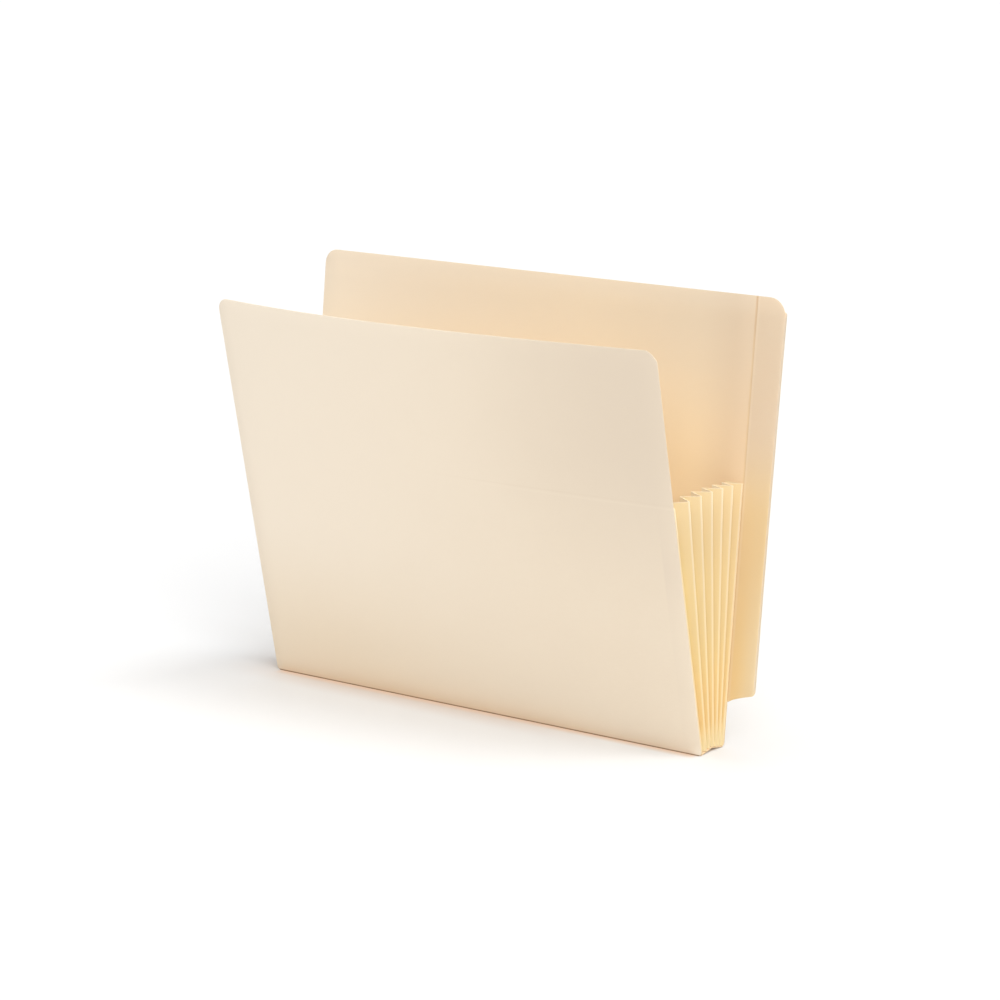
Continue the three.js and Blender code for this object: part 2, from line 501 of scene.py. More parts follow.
@dataclass(frozen=True)
class PaperFinish:
    """A matt paper or board with its pulp, and the marks on it.

    Attributes:
        name: The material's name.
        light: Its colour where the pulp is palest, linear.
        dark: Its colour where the pulp is densest.
        roughness: How matt it is.
        specular: Its specular level.
        bump: Height of its relief, in metres.
        bump_strength: How much of that relief shows.
        marks: Straight marks on the sheet.
    """

    name: str
    light: Color
    dark: Color
    roughness: float = 0.8
    specular: float = 0.25
    bump: float = 0.04 * MM
    bump_strength: float = 0.6
    marks: tuple[Mark, ...] = ()

    def material(self) -> bpy.types.Material:
        """Build the material, once.

        Returns:
            The material.
        """
        if self.name in bpy.data.materials:
            return bpy.data.materials[self.name]
        material = bpy.data.materials.new(self.name)
        material.use_nodes = True
        tree = material.node_tree
        shader = tree.nodes["Principled BSDF"]
        shader.inputs["Roughness"].default_value = self.roughness
        shader.inputs["Specular IOR Level"].default_value = self.specular
        fibre = tree.nodes.new("ShaderNodeGroup")
        fibre.node_tree = PaperNodes().fibre()
        connect(tree, tree.nodes.new("ShaderNodeTexCoord").outputs["Object"], fibre.inputs["Vector"])
        color = mix_colors(tree, fibre.outputs["Tone"], self.dark, self.light)
        height = fibre.outputs["Height"]
        if self.marks:
            sheet = tree.nodes.new("ShaderNodeUVMap")
            sheet.uv_map = "sheet"
            places = tree.nodes.new("ShaderNodeSeparateXYZ")
            connect(tree, sheet.outputs["UV"], places.inputs["Vector"])
            for mark in self.marks:
                color, height = self._add_mark(tree, mark, places, color, height)
        connect(tree, color, shader.inputs["Base Color"])
        bump = tree.nodes.new("ShaderNodeBump")
        bump.inputs["Strength"].default_value = self.bump_strength
        bump.inputs["Distance"].default_value = self.bump
        connect(tree, height, bump.inputs["Height"])
        connect(tree, bump.outputs["Normal"], shader.inputs["Normal"])
        return material

    @staticmethod
    def _add_mark(
        tree: Tree, mark: Mark, places: bpy.types.Node, color: Socket, height: Socket
    ) -> tuple[Socket, Socket]:
        """Lay one mark over a colour and a height.

        Args:
            tree: The material's nodes.
            mark: The mark.
            places: The node that gives a point's place on the sheet, by X across it and Y up it.
            color: The colour so far.
            height: The height so far.

        Returns:
            The colour and the height with the mark.
        """
        paper = PaperNodes()
        mask = paper.mask(tree, places.outputs[mark.along.value], mark.place, mark.width, mark.rim)
        share = calculate(tree, "MULTIPLY", mask, mark.strength)
        if mark.span:
            low, high = mark.span
            other = Along.UP if mark.along is Along.ACROSS else Along.ACROSS
            middle, half_width = (low + high) / 2, (high - low) / 2
            within = paper.mask(tree, places.outputs[other.value], middle, half_width, mark.span_rim)
            share = calculate(tree, "MULTIPLY", share, within)
        mixed = mix_colors(tree, share, color, mark.color)
        if mark.height == 0:
            return mixed, height
        return mixed, calculate(tree, "MULTIPLY_ADD", mask, mark.height, height)


# Making sheets


class Corner(Enum):
    """The corners of a flat blank, as shares of its width and height."""

    FOOT_LEFT = (0, 0)
    FOOT_RIGHT = (1, 0)
    HEAD_LEFT = (0, 1)
    HEAD_RIGHT = (1, 1)


class Blank:
    """A blank cut from a flat sheet: it starts out in the XY plane, from (left, foot) to (right, head)."""

    EDGE_ANGLE = math.radians(50)
    SMOOTH_ANGLE = math.radians(30)
    ARRIS_SEGMENTS = 2

    def __init__(self, name: str, left: float, right: float, foot: float, head: float) -> None:
        """Cut a plain rectangle.

        Args:
            name: The piece's name.
            left: Its left edge.
            right: Its right edge.
            foot: Its lower edge.
            head: Its upper edge.
        """
        self.left, self.right, self.foot, self.head = left, right, foot, head
        bpy.ops.object.select_all(action="DESELECT")
        bpy.ops.mesh.primitive_plane_add(size=1, location=(0, 0, 0))
        self.piece = bpy.context.active_object
        self.piece.name = self.piece.data.name = name
        bpy.ops.object.mode_set(mode="EDIT")
        bpy.ops.mesh.select_all(action="SELECT")
        bpy.ops.transform.resize(value=(right - left, head - foot, 1), center_override=(0, 0, 0))
        bpy.ops.transform.translate(value=((left + right) / 2, (foot + head) / 2, 0))
        bpy.ops.object.mode_set(mode="OBJECT")

    def _select_corner(self, corner: Corner, up: float = 0.0) -> None:
        """Select the vertex at a corner of the flat sheet, and nothing else.

        Args:
            corner: Which corner.
            up: How far shift_corner has moved it.
        """
        x = self.left + corner.value[0] * (self.right - self.left)
        y = self.foot + corner.value[1] * (self.head - self.foot) + up
        mesh = self.piece.data
        nearest = min(mesh.vertices, key=lambda vertex: (vertex.co.x - x) ** 2 + (vertex.co.y - y) ** 2)
        for group in (mesh.vertices, mesh.edges, mesh.polygons):
            group.foreach_set("select", [False] * len(group))
        nearest.select = True

    def shift_corner(self, corner: Corner, up: float) -> Blank:
        """Move a corner up the sheet, so that the edge there runs at a slant.

        Args:
            corner: Which corner.
            up: How far.

        Returns:
            The blank.
        """
        self._select_corner(corner)
        bpy.ops.object.mode_set(mode="EDIT")
        bpy.ops.transform.translate(value=(0, up, 0))
        bpy.ops.object.mode_set(mode="OBJECT")
        return self

    def round_corner(
        self, corner: Corner, radius: float, up: float = 0.0, segments: int = 8, profile: float = 0.5
    ) -> Blank:
        """Round a corner.

        Args:
            corner: Which corner.
            radius: Its radius.
            up: How far shift_corner has moved it.
            segments: The number of edges in the curve.
            profile: How full the curve is: 0.5 is round, and less is flatter.

        Returns:
            The blank.
        """
        self._select_corner(corner, up)
        bpy.ops.object.mode_set(mode="EDIT")
        bpy.ops.mesh.select_mode(type="VERT")
        bpy.ops.mesh.bevel(offset=radius, segments=segments, profile=profile, affect="VERTICES")
        bpy.ops.object.mode_set(mode="OBJECT")
        return self

    def slice(self, columns: Sequence[float], rows: Sequence[float]) -> Blank:
        """Cut the sheet into cells, so that it can bend.

        Args:
            columns: The places across the sheet of the upright cuts.
            rows: The places up the sheet of the level cuts.

        Returns:
            The blank.
        """
        bpy.ops.object.mode_set(mode="EDIT")
        for x in columns:
            bpy.ops.mesh.select_all(action="SELECT")
            bpy.ops.mesh.bisect(plane_co=(x, 0, 0), plane_no=(1, 0, 0))
        for y in rows:
            bpy.ops.mesh.select_all(action="SELECT")
            bpy.ops.mesh.bisect(plane_co=(0, y, 0), plane_no=(0, 1, 0))
        bpy.ops.object.mode_set(mode="OBJECT")
        return self

    def grid(self, columns: int, rows: int) -> Blank:
        """Cut the sheet into even cells.

        Args:
            columns: The number of cells across it.
            rows: The number of cells up it.

        Returns:
            The blank.
        """
        xs = np.linspace(self.left, self.right, columns + 1)[1:-1]
        ys = np.linspace(self.foot, self.head, rows + 1)[1:-1]
        return self.slice(list(xs), list(ys))

    def lay(self, surface: Surface) -> Blank:
        """Lay the flat sheet along a surface, and keep its flat coordinates as the UV map "sheet".

        Args:
            surface: The surface that its middle follows.

        Returns:
            The blank.
        """
        mesh = self.piece.data
        flat = np.empty(len(mesh.vertices) * 3)
        mesh.vertices.foreach_get("co", flat)
        flat = flat.reshape(-1, 3)
        corners = np.empty(len(mesh.loops), int)
        mesh.loops.foreach_get("vertex_index", corners)
        layer = mesh.uv_layers.get("sheet") or mesh.uv_layers.new(name="sheet")
        layer.data.foreach_set("uv", flat[corners][:, :2].ravel())
        mesh.vertices.foreach_set("co", surface(flat[:, 0], flat[:, 1]).ravel())
        mesh.update()
        return self

    def thicken(self, stock: float, edge: float) -> Blank:
        """Give the sheet its thickness, half to each side, and take the sharpness off its cut edges.

        Args:
            stock: The thickness.
            edge: The width of the worn arris along the cut edges.

        Returns:
            The blank.
        """
        solid = self.piece.modifiers.new("stock", "SOLIDIFY")
        solid.thickness = stock
        solid.offset = 0
        solid.use_even_offset = True
        solid.material_offset_rim = 1
        arris = self.piece.modifiers.new("arris", "BEVEL")
        arris.width = edge
        arris.segments = self.ARRIS_SEGMENTS
        arris.limit_method = "ANGLE"
        arris.angle_limit = self.EDGE_ANGLE
        arris.material = -1
        bpy.context.view_layer.objects.active = self.piece
        for modifier in (solid, arris):
            bpy.ops.object.modifier_apply(modifier=modifier.name)
        return self

    def dress(self, face: PaperFinish, rim: PaperFinish) -> bpy.types.Object:
        """Give the sheet its finish and the finish of its cut edges, and smooth its faces.

        Args:
            face: The finish of both faces.
            rim: The finish of the cut edges.

        Returns:
            The finished piece.
        """
        self.piece.data.materials.append(face.material())
        self.piece.data.materials.append(rim.material())
        bpy.ops.object.select_all(action="DESELECT")
        self.piece.select_set(True)
        bpy.context.view_layer.objects.active = self.piece
        bpy.ops.object.shade_smooth_by_angle(angle=self.SMOOTH_ANGLE)
        bpy.ops.object.select_all(action="DESELECT")
        return self.piece


# The covers


@dataclass(frozen=True)
class ScoreLine:
    """The line that is pressed into the board where the tab bends, partly its own darker tone and partly painted
    shade of its groove. It is darker towards the pocket's head.
    """

    width: float = 0.9 * MM
    rim: float = 0.5 * MM
    # Partly the pressed line's own tone and partly painted shade of its groove, more of it towards the head.
    color: Color = (0.78, 0.56, 0.30)
    shade: Color = (0.66, 0.43, 0.27)
    shade_foot: float = 205.0 * MM
    shade_rim: float = 35.0 * MM

    def marks(self, place: float, stance: Stance) -> tuple[Mark, Mark]:
        """The line on one of the two sheets that meet at it.

        Args:
            place: Its place across the sheet.
            stance: The pocket's sizes.

        Returns:
            Its two marks.
        """
        head = (self.shade_foot, 2 * stance.back_height)
        return (
            Mark(Along.ACROSS, place=place, width=self.width, rim=self.rim, color=self.color, strength=0.5),
            Mark(
                Along.ACROSS, place=place, width=self.width, rim=self.rim, color=self.shade, strength=0.4,
                span=head, span_rim=self.shade_rim,
            ),
        )


@dataclass
class Covers:
    """The two covers, the ply that lines the front one, and the glue flaps on the back one."""

    stance: Stance
    head_radius: float = 7.9 * MM
    tab_side_radius: float = 6.0 * MM
    tab_side_fullness: float = 0.36
    foot_radius: float = 2.5 * MM
    lining_foot: float = 1.6 * MM
    flap_width: float = 11.0 * MM
    outside: Color = (0.868, 0.752, 0.595)
    outside_dark: Color = (0.828, 0.70, 0.545)
    # Painted light: the front cover is made lighter towards its plain edge.
    outside_painted_light: Color = (0.92, 0.815, 0.675)
    # Painted shade: warmer and darker at the lower left.
    outside_painted_low_shade: Color = (0.854, 0.712, 0.531)
    # Painted shade: darker at the upper right.
    outside_painted_upper_shade: Color = (0.76, 0.645, 0.51)
    # Painted shade: warmer and darker in a band along the foot.
    outside_painted_foot_shade: Color = (0.86, 0.68, 0.45)
    # Painted highlight: paler at the right end of the foot.
    outside_painted_foot_highlight: Color = (0.98, 0.88, 0.73)
    left_imprint: Color = (0.77, 0.645, 0.50)
    right_imprint: Color = (0.77, 0.65, 0.52)
    # Painted shade and painted highlight on the two sides of the lining's imprint at its head.
    ply_painted_shade: Color = (0.74, 0.61, 0.46)
    ply_painted_highlight: Color = (0.90, 0.79, 0.635)
    # Painted shadow: a dark contact line along the front cover's foot, where it stands on the floor.
    fold: Color = (0.30, 0.18, 0.09)
    # The board's own colour with painted light in it: lighter and warmer than the front cover's, for the light that
    # bounces inside the pocket.
    inside: Color = (0.99, 0.83, 0.61)
    inside_dark: Color = (0.97, 0.79, 0.555)
    # Painted light: the back cover is made lighter towards its plain edge.
    inside_painted_light: Color = (0.915, 0.79, 0.627)
    # Painted shade: darker at the upper right and along the head.
    inside_painted_upper_shade: Color = (0.758, 0.63, 0.48)
    # Painted shade: darker and more orange towards the score line and the gusset.
    inside_painted_shade_by_score: Color = (0.74, 0.537, 0.353)
    # Painted light: a warm glow of bounced light in the lower half.
    inside_painted_bounce_glow: Color = (1.0, 0.77, 0.455)
    core: Color = (0.94, 0.88, 0.78)
    core_dark: Color = (0.88, 0.80, 0.66)
    lining: Color = (0.90, 0.75, 0.50)
    lining_dark: Color = (0.86, 0.68, 0.41)

    def rim(self) -> PaperFinish:
        """The pale cut edge of manila board."""
        return PaperFinish("manila_cut_edge", self.core, self.core_dark, roughness=0.9)

    def front_finish(self) -> PaperFinish:
        """The outside of the front cover.

        Light and shade are painted into it: it is lighter towards its plain edge, with painted shade at its
        upper right, at its lower left and in a band along its foot, a painted contact shadow at the edge of its foot
        and a painted highlight at the right end of its foot. The lining and the gussets' first pleats, which are glued
        to its inside, show through it: the ply by a faint line at its head, with painted shade and highlight on its
        two sides, and the pleats as a strip along either side.

        Returns:
            The finish.
        """
        width, height = self.stance.body_width, self.stance.front_height
        head, strip = self.stance.gusset_height, self.stance.pleat_width
        right_end = (260.0 * MM, 2 * width)
        ply_head = {"span": (110.0 * MM, 2 * width), "span_rim": 110.0 * MM}
        # Light and shade painted into the front cover's colour.
        painted_light_and_shade = (
            Mark(Along.ACROSS, place=0.0, width=width, rim=width, color=self.outside_painted_light, strength=0.85),
            Mark(
                Along.ACROSS, place=0.0, width=230.0 * MM, rim=200.0 * MM, color=self.outside_painted_low_shade, strength=0.8,
                span=(-head, 100.0 * MM), span_rim=90.0 * MM,
            ),
            Mark(
                Along.ACROSS, place=width, width=150.0 * MM, rim=140.0 * MM, color=self.outside_painted_upper_shade, strength=0.9,
                span=(70.0 * MM, 2 * height), span_rim=110.0 * MM,
            ),
            Mark(
                Along.UP, place=0.0, width=22.0 * MM, rim=21.0 * MM, color=self.outside_painted_foot_shade, strength=0.2,
                span=(30.0 * MM, 250.0 * MM), span_rim=50.0 * MM,
            ),
            Mark(
                Along.UP, place=0.0, width=7.0 * MM, rim=6.0 * MM, color=self.outside_painted_foot_highlight, strength=0.6,
                span=right_end, span_rim=30.0 * MM,
            ),
        )
        # The plies' imprints, with painted shade and highlight on the lining's, and a painted contact shadow at the
        # foot.
        imprints_and_painted_shading = (
            Mark(
                Along.ACROSS, place=0.0, width=strip, rim=5.0 * MM, color=self.left_imprint, strength=0.08,
                span=(20.0 * MM, head), span_rim=30.0 * MM,
            ),
            Mark(
                Along.ACROSS, place=width, width=strip, rim=1.5 * MM, color=self.right_imprint, strength=0.6,
                span=(70.0 * MM, head), span_rim=55.0 * MM,
            ),
            Mark(
                Along.ACROSS, place=width, width=strip, rim=1.5 * MM, color=self.right_imprint, strength=0.10,
                height=0.1, span=(-head, head),
            ),
            Mark(
                Along.UP, place=head + 1.6 * MM, width=0.8 * MM, rim=0.8 * MM, color=self.ply_painted_shade, strength=0.16,
                height=-0.3, **ply_head,
            ),
            Mark(
                Along.UP, place=head - 0.2 * MM, width=1.1 * MM, rim=1.0 * MM, color=self.ply_painted_highlight, strength=0.15,
                height=0.1, **ply_head,
            ),
            # Painted contact shadow along the foot.
            Mark(Along.UP, place=0.0, width=1.0 * MM, rim=0.6 * MM, color=self.fold, strength=0.88),
        )
        marks = painted_light_and_shade + imprints_and_painted_shading
        return PaperFinish("front_cover_manila", self.outside, self.outside_dark, marks=marks)

    def back_finish(self) -> PaperFinish:
        """The back cover, with light and shade painted into it.

        Its colour is lighter and warmer than the front cover's, with painted light in it. It is lighter still towards
        its plain edge, with a painted warm glow of bounced light in its lower half and painted shade by the score
        line, at its upper right and along its head. The pressed score line that its tab bends along has the shade of
        its groove painted in.

        Returns:
            The finish.
        """
        score, height = self.stance.body_width, self.stance.back_height
        upper = (self.stance.gusset_height, 2 * height)
        # Light and shade painted into the back cover's colour, then the score line.
        marks = (
            Mark(Along.ACROSS, place=0.0, width=score, rim=score, color=self.inside_painted_light, strength=0.9),
            Mark(Along.UP, place=0.0, width=230.0 * MM, rim=90.0 * MM, color=self.inside_painted_bounce_glow, strength=0.55),
            Mark(Along.ACROSS, place=score, width=38.0 * MM, rim=38.0 * MM, color=self.inside_painted_shade_by_score, strength=0.62),
            Mark(
                Along.ACROSS, place=score, width=120.0 * MM, rim=110.0 * MM, color=self.inside_painted_upper_shade, strength=0.5,
                span=upper, span_rim=90.0 * MM,
            ),
            Mark(Along.UP, place=height, width=14.0 * MM, rim=13.0 * MM, color=self.inside_painted_upper_shade, strength=0.4),
            *ScoreLine().marks(score, self.stance),
        )
        return PaperFinish("back_cover_manila", self.inside, self.inside_dark, marks=marks)

    def lining_finish(self) -> PaperFinish:
        """The lighter paper of the lining and the glue flaps."""
        return PaperFinish("lining_ply_paper", self.lining, self.lining_dark, roughness=0.85)

    def build_front(self) -> list[bpy.types.Object]:
        """Make the front cover and its lining.

        Returns:
            The two pieces.
        """
        stance = self.stance
        cover = Blank("front_cover_board", 0, stance.body_width, 0, stance.front_height)
        cover.round_corner(Corner.HEAD_LEFT, self.head_radius)
        cover.round_corner(Corner.HEAD_RIGHT, self.tab_side_radius, profile=self.tab_side_fullness)
        for corner in (Corner.FOOT_LEFT, Corner.FOOT_RIGHT):
            cover.round_corner(corner, self.foot_radius, segments=5)
        cover.grid(columns=36, rows=24).lay(stance.front()).thicken(stance.cover_stock, stance.handled_arris)
        board = cover.dress(self.front_finish(), self.rim())
        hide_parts("front_panel")
        lining = Blank("front_cover_lining", 0, stance.body_width, self.lining_foot, stance.gusset_height)
        lining.grid(columns=36, rows=14).lay(stance.front(stance.ply_step))
        lining.thicken(stance.gusset_stock, stance.cut_arris)
        ply = lining.dress(self.lining_finish(), self.rim())
        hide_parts("front_lining")
        for piece in (board, ply):
            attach(piece, "front_cover")
        return [board, ply]

    def build_back(self) -> list[bpy.types.Object]:
        """Make the back cover and the two flaps glued to it.

        Returns:
            The three pieces.
        """
        stance = self.stance
        cover = Blank("back_cover_board", 0, stance.body_width - stance.seam, 0, stance.back_height)
        cover.round_corner(Corner.HEAD_LEFT, self.head_radius)
        for corner in (Corner.FOOT_LEFT, Corner.FOOT_RIGHT):
            cover.round_corner(corner, self.foot_radius, segments=5)
        cover.grid(columns=24, rows=20).lay(stance.back()).thicken(stance.cover_stock, stance.cut_arris)
        board = cover.dress(self.back_finish(), self.rim())
        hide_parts("back_panel")
        pieces = [board]
        for node, left in (("left_back_flap", 0.0), ("right_back_flap", stance.body_width - self.flap_width)):
            flap = Blank(f"{node}_paper", left, left + self.flap_width, self.lining_foot, stance.gusset_height)
            flap.grid(columns=3, rows=10).lay(stance.back(stance.ply_step))
            flap.thicken(stance.gusset_stock, stance.cut_arris)
            paper = flap.dress(self.lining_finish(), self.rim())
            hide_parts(node)
            pieces.append(paper)
        for piece in pieces:
            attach(piece, "back_cover")
        return pieces


@dataclass
class EndTab:
    """The tab beyond the score line, and the ply that stiffens it from behind.

    Attributes:
        fold_width: The width of the strip of board beside the score line that is sliced more finely.
        fold_cuts: Where that strip is sliced, as shares of its width.
    """

    stance: Stance
    head_radius: float = 10.5 * MM
    foot_radius: float = 3.0 * MM
    ply_overhang: float = 0.4 * MM
    ply_drop: float = 7.0 * MM
    ply_head_radius: float = 1.5 * MM
    fold_width: float = 1.2 * MM
    fold_cuts: tuple[float, ...] = (0.3, 0.55, 0.8, 1.0)
    color: Color = (0.87, 0.72, 0.54)
    color_dark: Color = (0.84, 0.66, 0.47)
    # Painted light: a warm glow of bounced light on the tab's lower part, strongest at its foot.
    color_painted_bounce_glow: Color = (0.88, 0.67, 0.36)
    color_painted_foot_glow: Color = (0.98, 0.76, 0.385)
    # Painted light: the lower part's painted glow is weaker towards the free side.
    color_painted_glow_fade: Color = (0.895, 0.765, 0.55)
    # Painted highlight: a pale strip beside the score line.
    color_painted_score_highlight: Color = (0.93, 0.77, 0.58)
    # The tab's cut edges and the edge of its free side are darker and greyer.
    edge: Color = (0.72, 0.62, 0.50)
    edge_dark: Color = (0.67, 0.56, 0.43)

    def finish(self) -> PaperFinish:
        """The tab's board, with light painted into it.

        It has a painted warm glow of bounced light on its lower part, strongest at its foot and weaker towards its
        free side, a painted highlight beside the score line, and the pressed score line at its root, with the shade of
        its groove painted in.

        Returns:
            The finish.
        """
        free_side = self.stance.tab_width
        low = (-self.stance.gusset_height, 115.0 * MM)
        marks = (
            Mark(Along.UP, place=0.0, width=175.0 * MM, rim=55.0 * MM, color=self.color_painted_bounce_glow, strength=0.75),
            Mark(Along.UP, place=0.0, width=100.0 * MM, rim=70.0 * MM, color=self.color_painted_foot_glow, strength=0.6),
            Mark(
                Along.ACROSS, place=free_side, width=16.0 * MM, rim=15.0 * MM, color=self.color_painted_glow_fade, strength=0.6,
                span=low, span_rim=70.0 * MM,
            ),
            Mark(Along.ACROSS, place=1.0 * MM, width=1.4 * MM, rim=0.8 * MM, color=self.color_painted_score_highlight, strength=0.4),
            *ScoreLine().marks(0.0, self.stance),
            Mark(
                Along.ACROSS, place=free_side + self.ply_overhang, width=0.5 * MM, rim=0.1 * MM,
                color=self.edge, strength=0.9,
            ),
        )
        return PaperFinish("end_tab_manila", self.color, self.color_dark, marks=marks)

    def build(self) -> list[bpy.types.Object]:
        """Make the tab and its ply.

        Returns:
            The two pieces.
        """
        stance = self.stance
        rim = PaperFinish("handled_cut_edge", self.edge, self.edge_dark, roughness=0.9)
        pieces = []
        ply_width = stance.tab_width + self.ply_overhang
        ply_behind = stance.cover_stock + stance.clearance
        for node, width, drop, behind, head_radius in (
            ("end_tab", stance.tab_width, 0.0, 0.0, self.head_radius),
            ("tab_reinforcement", ply_width, self.ply_drop, ply_behind, self.ply_head_radius),
        ):
            blank = Blank(f"{node}_board", stance.seam, width, stance.tab_foot, stance.back_height - drop)
            blank.shift_corner(Corner.FOOT_RIGHT, stance.tab_foot_rise)
            blank.round_corner(Corner.FOOT_RIGHT, self.foot_radius, up=stance.tab_foot_rise, segments=6)
            blank.round_corner(Corner.HEAD_RIGHT, head_radius, segments=12)
            blank.grid(columns=7, rows=20)
            if node == "end_tab":
                blank.slice([self.fold_width * share for share in self.fold_cuts], [])
            blank.lay(stance.tab(behind)).thicken(stance.cover_stock, stance.handled_arris)
            board = blank.dress(self.finish(), rim)
            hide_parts(node)
            if node == "end_tab":
                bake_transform(board)
            else:
                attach(board, "tab")
            pieces.append(board)
        return pieces


@dataclass
class Base:
    """The two strips under the pocket, which meet at a raised crease."""

    stance: Stance
    inset: float = 0.6 * MM

    def build(self, face: PaperFinish, rim: PaperFinish) -> list[bpy.types.Object]:
        """Make both strips.

        Args:
            face: The finish of the strips.
            rim: The finish of their cut ends.

        Returns:
            The two pieces.
        """
        stance = self.stance
        cover_face = stance.cover_stock / 2 + stance.clearance
        crease = stance.base_depth / 2

        def surface(u: np.ndarray, v: np.ndarray) -> np.ndarray:
            """Points of the base, by their distances along it and from the front fold."""
            return stance.place(u, v, stance.base_height(v))

        pieces = []
        for node, foot, head in (
            ("base_front_strip", cover_face, crease - stance.seam),
            ("base_rear_strip", crease + stance.seam, stance.base_depth - cover_face),
        ):
            blank = Blank(f"{node}_board", self.inset, stance.body_width - self.inset, foot, head)
            blank.grid(columns=16, rows=4).lay(surface).thicken(stance.cover_stock, stance.cut_arris)
            board = blank.dress(face, rim)
            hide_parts(node)
            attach(board, "back_cover")
            pieces.append(board)
        return pieces


# The gussets


class Side(Enum):
    """The two ends of the pocket."""

    LEFT = "left"
    RIGHT = "right"


@dataclass
class Gusset:
    """A sheet folded into twelve pleats, which fan out from the base between the open covers."""

    stance: Stance
    side: Side
    foot_lift: float = 0.3 * MM
    light: Color = (0.85, 0.69, 0.375)
    dark: Color = (0.815, 0.645, 0.31)
    # Painted shade: darker towards the head.
    head_painted_shade: Color = (0.71, 0.55, 0.33)
    # Painted light: a warm glow on the pleats' lower part and a pale band at their foot.
    lower_painted_glow: Color = (0.88, 0.645, 0.30)
    foot_painted_light: Color = (0.98, 0.88, 0.58)
    shade_color: Color = (0.77, 0.60, 0.345)
    # Partly worn fibre and partly painted highlight: pale along the folds and the head's edge, and paler still low
    # down.
    fold_wear_and_highlight: Color = (0.80, 0.67, 0.48)
    fold_foot_wear_and_light: Color = (0.93, 0.76, 0.45)
    # Painted light: pale at the head of the pleats that face the back, which lies in shade.
    back_facing_painted_light: Color = (1.0, 0.90, 0.70)

    def finish(self, faces_back: bool) -> PaperFinish:
        """The gusset's paper, with light and shade painted into it.

        It is pale along its folds and its head's edge, from worn fibre and a painted highlight, with a painted warm
        glow on its lower part, painted light at its foot, painted shade towards its head and beside each fold, and
        painted light at the head of the pleats that face the back.

        Args:
            faces_back: Whether the pleat faces the back, where painted light brightens its head.

        Returns:
            The finish.
        """
        width, head = self.stance.pleat_width, self.stance.gusset_height
        marks = (
            Mark(Along.UP, place=0.0, width=75.0 * MM, rim=65.0 * MM, color=self.lower_painted_glow, strength=0.9),
            Mark(Along.UP, place=0.0, width=19.0 * MM, rim=18.0 * MM, color=self.foot_painted_light, strength=0.85),
            Mark(Along.UP, place=head, width=60.0 * MM, rim=55.0 * MM, color=self.head_painted_shade, strength=0.75),
            Mark(
                Along.ACROSS, place=1.5 * MM, width=4.0 * MM, rim=3.0 * MM, color=self.shade_color, strength=0.5,
                span=(40.0 * MM, 2 * head), span_rim=40.0 * MM,
            ),
            Mark(Along.ACROSS, place=0.0, width=0.95 * MM, rim=0.5 * MM, color=self.fold_wear_and_highlight, strength=0.8),
            Mark(Along.ACROSS, place=width, width=0.7 * MM, rim=0.5 * MM, color=self.fold_wear_and_highlight, strength=0.5),
            Mark(
                Along.ACROSS, place=0.0, width=0.95 * MM, rim=0.5 * MM, color=self.fold_foot_wear_and_light, strength=0.9,
                span=(-head, 120.0 * MM), span_rim=100.0 * MM,
            ),
            Mark(Along.UP, place=head, width=0.5 * MM, rim=0.35 * MM, color=self.fold_wear_and_highlight, strength=0.7),
        )
        if not faces_back:
            return PaperFinish("pleated_paper", self.light, self.dark, roughness=0.85, marks=marks)
        # Painted light at the head of the pleats that face the back.
        marks += (Mark(Along.UP, place=head, width=26.0 * MM, rim=20.0 * MM, color=self.back_facing_painted_light, strength=0.9),)
        return PaperFinish("sheltered_pleated_paper", self.light, self.dark, roughness=0.85, marks=marks)

    def _surface(self, pleat: int) -> Surface:
        """Middle surface of a pleat.

        Args:
            pleat: Its number, counted from the back cover.

        Returns:
            The surface.
        """
        stance = self.stance

        def surface(u: np.ndarray, v: np.ndarray) -> np.ndarray:
            """Points of the pleat, which runs straight from one crease to the next.

            Args:
                u: Distances from the crease behind it.
                v: Distances from its foot.

            Returns:
                The points, one to a row.
            """
            along = u / stance.pleat_width
            behind = stance.crease(pleat - 1, v)
            ahead = stance.crease(pleat, v)
            depth, y, z = ((1 - along) * a + along * b for a, b in zip(behind, ahead))
            x = depth if self.side is Side.LEFT else stance.body_width - depth
            return stance.place(x, y, z)

        return surface

    def _bend_with_fold(self, piece: bpy.types.Object, pleat: int) -> None:
        """Work out the blend that would let a pleat turn with the creases on both its sides, and bake its place.

        A pleat hangs between two creases that turn by different shares of the front cover's angle. The blend goes from
        none of the front crease's turn to all of it, and its start is set back so far that the crease behind gets its
        own share. Its start and end are worked out here but not used, so the pleat does not turn.

        Args:
            piece: The pleat.
            pleat: Its number, counted from the back cover.
        """
        stance = self.stance
        weight = (1 - stance.share(pleat - 1)) / (1 - stance.share(pleat))
        # The blend would run as a smoothstep, and this is where that reaches the weight.
        step = 0.5 - math.sin(math.asin(1 - 2 * weight) / 3)
        head = np.array([stance.gusset_height])
        behind, ahead = (float(stance.crease_depth(crease, head)[0]) for crease in (pleat - 1, pleat))
        start, end = (behind - step * ahead) / (1 - step), ahead
        if self.side is Side.RIGHT:
            start, end = stance.body_width - start, stance.body_width - end
        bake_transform(piece)

